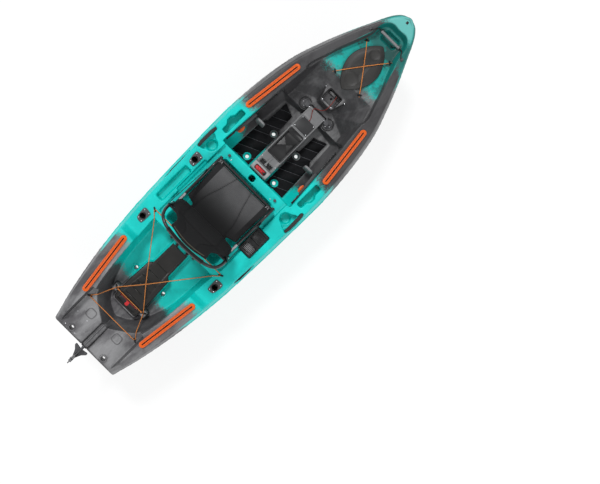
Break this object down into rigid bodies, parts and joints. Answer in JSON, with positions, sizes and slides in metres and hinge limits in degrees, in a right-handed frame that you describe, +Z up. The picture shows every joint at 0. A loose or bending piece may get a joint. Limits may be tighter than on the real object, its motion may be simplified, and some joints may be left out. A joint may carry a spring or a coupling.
{
  "type": "motorized kayak",
  "caption": "Sit-on-top fishing kayak with a framed seat, foot-steered rudder and a tilting electric motor console that reaches through the hull.",
  "frame": {"origin": "on the flat of the hull's bottom, amidships, on the centre line", "axes": "+X to the bow, +Y to port, +Z up"},
  "size_m": [3.346, 0.94, 1.0238],
  "materials": {
    "hull_plastic": "rotomoulded teal and charcoal plastic, fine grain",
    "charcoal_plastic": "moulded charcoal plastic",
    "black_plastic": "moulded black plastic",
    "grey_plastic": "moulded grey plastic",
    "orange_rail": "orange anodised rail",
    "orange_plastic": "orange plastic",
    "red_plastic": "glossy red plastic",
    "rubber": "moulded rubber",
    "foam": "closed-cell foam",
    "bungee": "woven elastic cord",
    "red_rubber": "insulated twin lead",
    "black_tube": "black powder-coated tube",
    "fabric": "padded mesh fabric",
    "webbing": "woven strap",
    "pale_paint": "pale grey paint",
    "steel": "brushed stainless steel"
  },
  "bodies": {
    "hull": {"hull": "hull_plastic", "skid_plate": "black_plastic", "rear_track_port": "orange_rail", "rear_track_stbd": "orange_rail", "front_track_port": "orange_rail", "front_track_stbd": "orange_rail", "rod_holder_rear_port": "black_plastic", "rod_holder_rear_stbd": "black_plastic", "rod_holder_side": "black_plastic", "gunwale_pad_port": "rubber", "gunwale_pad_stbd": "rubber", "footwell_pad_port": "foam", "footwell_pad_stbd": "foam", "control_box": "black_plastic", "foot_rail_port": "black_plastic", "foot_rail_stbd": "black_plastic", "rear_bungee": "bungee", "rear_bungee_cross": "bungee", "seat_frame": "black_tube", "seat_sling": "fabric", "pivot_cap_port": "charcoal_plastic", "pivot_cap_stbd": "charcoal_plastic", "battery": "black_plastic", "battery_cover": "black_plastic", "rudder_gudgeon": "charcoal_plastic", "wire_gland": "black_plastic"},
    "console": {"console_deck": "grey_plastic", "console_tray": "charcoal_plastic", "console_cover": "charcoal_plastic", "pivot_shaft": "steel", "motor_column": "black_plastic", "motor_housing": "pale_paint", "motor_band": "black_plastic", "motor_magnets": "steel", "motor_lead": "red_rubber"},
    "propeller": {"propeller": "black_plastic", "motor_rotor": "steel"},
    "release_lever": {"release_lever": "grey_plastic"},
    "power_button": {"power_button": "red_plastic"},
    "console_latch": {"console_latch_pin": "steel"},
    "rudder_head": {"rudder_head": "charcoal_plastic", "blade_pin": "steel"},
    "rudder_blade": {"rudder_blade": "charcoal_plastic"},
    "throttle_dial": {"throttle_dial": "grey_plastic"},
    "seat_back": {"seat_back_frame": "black_tube", "seat_back_pad": "fabric", "back_strap_port": "webbing", "back_strap_stbd": "webbing"},
    "battery_strap": {"battery_strap": "charcoal_plastic"},
    "bow_hatch": {"bow_hatch_lid": "charcoal_plastic", "bow_bungee": "bungee"},
    "bow_handle": {"bow_handle": "grey_plastic"},
    "foot_brace_port": {"foot_brace_port": "black_plastic"},
    "toe_pedal_port": {"toe_pedal_port": "grey_plastic"},
    "brace_trigger_port": {"brace_trigger_port": "orange_plastic"},
    "side_handle_port": {"side_handle_port": "rubber"},
    "foot_brace_stbd": {"foot_brace_stbd": "black_plastic"},
    "toe_pedal_stbd": {"toe_pedal_stbd": "grey_plastic"},
    "brace_trigger_stbd": {"brace_trigger_stbd": "orange_plastic"},
    "side_handle_stbd": {"side_handle_stbd": "rubber"}
  },
  "joints": [
    {"name": "console_tilt", "type": "hinge", "parent": "hull", "child": "console", "pos_m": [0.705, 0, 0.225], "axis": [0, 1, 0], "range_deg": [0, 100], "deforming": ["motor_lead"]},
    {"name": "prop_spin", "type": "hinge", "parent": "console", "child": "propeller", "pos_m": [0.441, 0, -0.055], "axis": [1, 0, 0], "continuous": true},
    {"name": "release_lift", "type": "hinge", "parent": "console", "child": "release_lever", "pos_m": [0.262, 0, 0.2395], "axis": [0, 1, 0], "range_deg": [0, 35]},
    {"name": "power_press", "type": "slide", "parent": "console", "child": "power_button", "axis": [0, 0, -1], "range_m": [0, 0.003], "stiffness_N_per_m": 300, "springref_m": -0.003},
    {"name": "latch_slide", "type": "slide", "parent": "hull", "child": "console_latch", "axis": [1, 0, 0], "range_m": [0, 0.02]},
    {"name": "rudder_yaw", "type": "hinge", "parent": "hull", "child": "rudder_head", "pos_m": [-1.632, 0, 0.32], "axis": [0, 0, 1], "range_deg": [-35, 35]},
    {"name": "rudder_lift", "type": "hinge", "parent": "rudder_head", "child": "rudder_blade", "pos_m": [-1.705, 0, 0.372], "axis": [0, -1, 0], "range_deg": [0, 265]},
    {"name": "throttle_turn", "type": "hinge", "parent": "hull", "child": "throttle_dial", "pos_m": [-0.3, -0.326, 0.334], "axis": [0, 1, 0], "range_deg": [-60, 60]},
    {"name": "seat_back_fold", "type": "hinge", "parent": "hull", "child": "seat_back", "pos_m": [-0.445, 0, 0.402], "axis": [0, 1, 0], "range_deg": [0, 18], "deforming": ["back_strap_port", "back_strap_stbd"]},
    {"name": "battery_strap_lift", "type": "hinge", "parent": "hull", "child": "battery_strap", "pos_m": [-1.169, 0, 0.2559], "axis": [0, 1, 0], "range_deg": [0, 90]},
    {"name": "bow_hatch_lift", "type": "hinge", "parent": "hull", "child": "bow_hatch", "pos_m": [1.338, 0, 0.3723], "axis": [0, 1, 0], "range_deg": [0, 88], "deforming": ["bow_bungee"]},
    {"name": "bow_handle_lift", "type": "hinge", "parent": "hull", "child": "bow_handle", "pos_m": [1.353, 0, 0.44803], "axis": [0, -1, 0], "range_deg": [0, 80]},
    {"name": "side_handle_port_lift", "type": "hinge", "parent": "hull", "child": "side_handle_port", "pos_m": [-0.236, 0.426, 0.324], "axis": [1, 0, 0], "range_deg": [0, 80]},
    {"name": "side_handle_stbd_lift", "type": "hinge", "parent": "hull", "child": "side_handle_stbd", "pos_m": [-0.4525, -0.426, 0.324], "axis": [-1, 0, 0], "range_deg": [0, 80]},
    {"name": "foot_brace_port_slide", "type": "slide", "parent": "hull", "child": "foot_brace_port", "axis": [0.9977, -0.0683, 0], "range_m": [-0.08, 0.18]},
    {"name": "toe_pedal_port_tilt", "type": "hinge", "parent": "foot_brace_port", "child": "toe_pedal_port", "pos_m": [0.37958, 0.285, 0.207], "axis": [0, 1, 0], "range_deg": [-20, 20]},
    {"name": "brace_trigger_port_pull", "type": "slide", "parent": "foot_brace_port", "child": "brace_trigger_port", "axis": [-0.9977, 0.0683, 0], "range_m": [0, 0.009], "stiffness_N_per_m": 200, "springref_m": -0.004},
    {"name": "foot_brace_stbd_slide", "type": "slide", "parent": "hull", "child": "foot_brace_stbd", "axis": [0.9977, 0.0683, 0], "range_m": [-0.08, 0.18]},
    {"name": "toe_pedal_stbd_tilt", "type": "hinge", "parent": "foot_brace_stbd", "child": "toe_pedal_stbd", "pos_m": [0.37958, -0.285, 0.207], "axis": [0, 1, 0], "range_deg": [-20, 20]},
    {"name": "brace_trigger_stbd_pull", "type": "slide", "parent": "foot_brace_stbd", "child": "brace_trigger_stbd", "axis": [-0.9977, -0.0683, 0], "range_m": [0, 0.009], "stiffness_N_per_m": 200, "springref_m": -0.004}
  ],
  "couplings": [
    {"joint": "toe_pedal_port_tilt", "follows": "rudder_yaw", "ratio": -0.5},
    {"joint": "toe_pedal_stbd_tilt", "follows": "rudder_yaw", "ratio": 0.5}
  ]
}
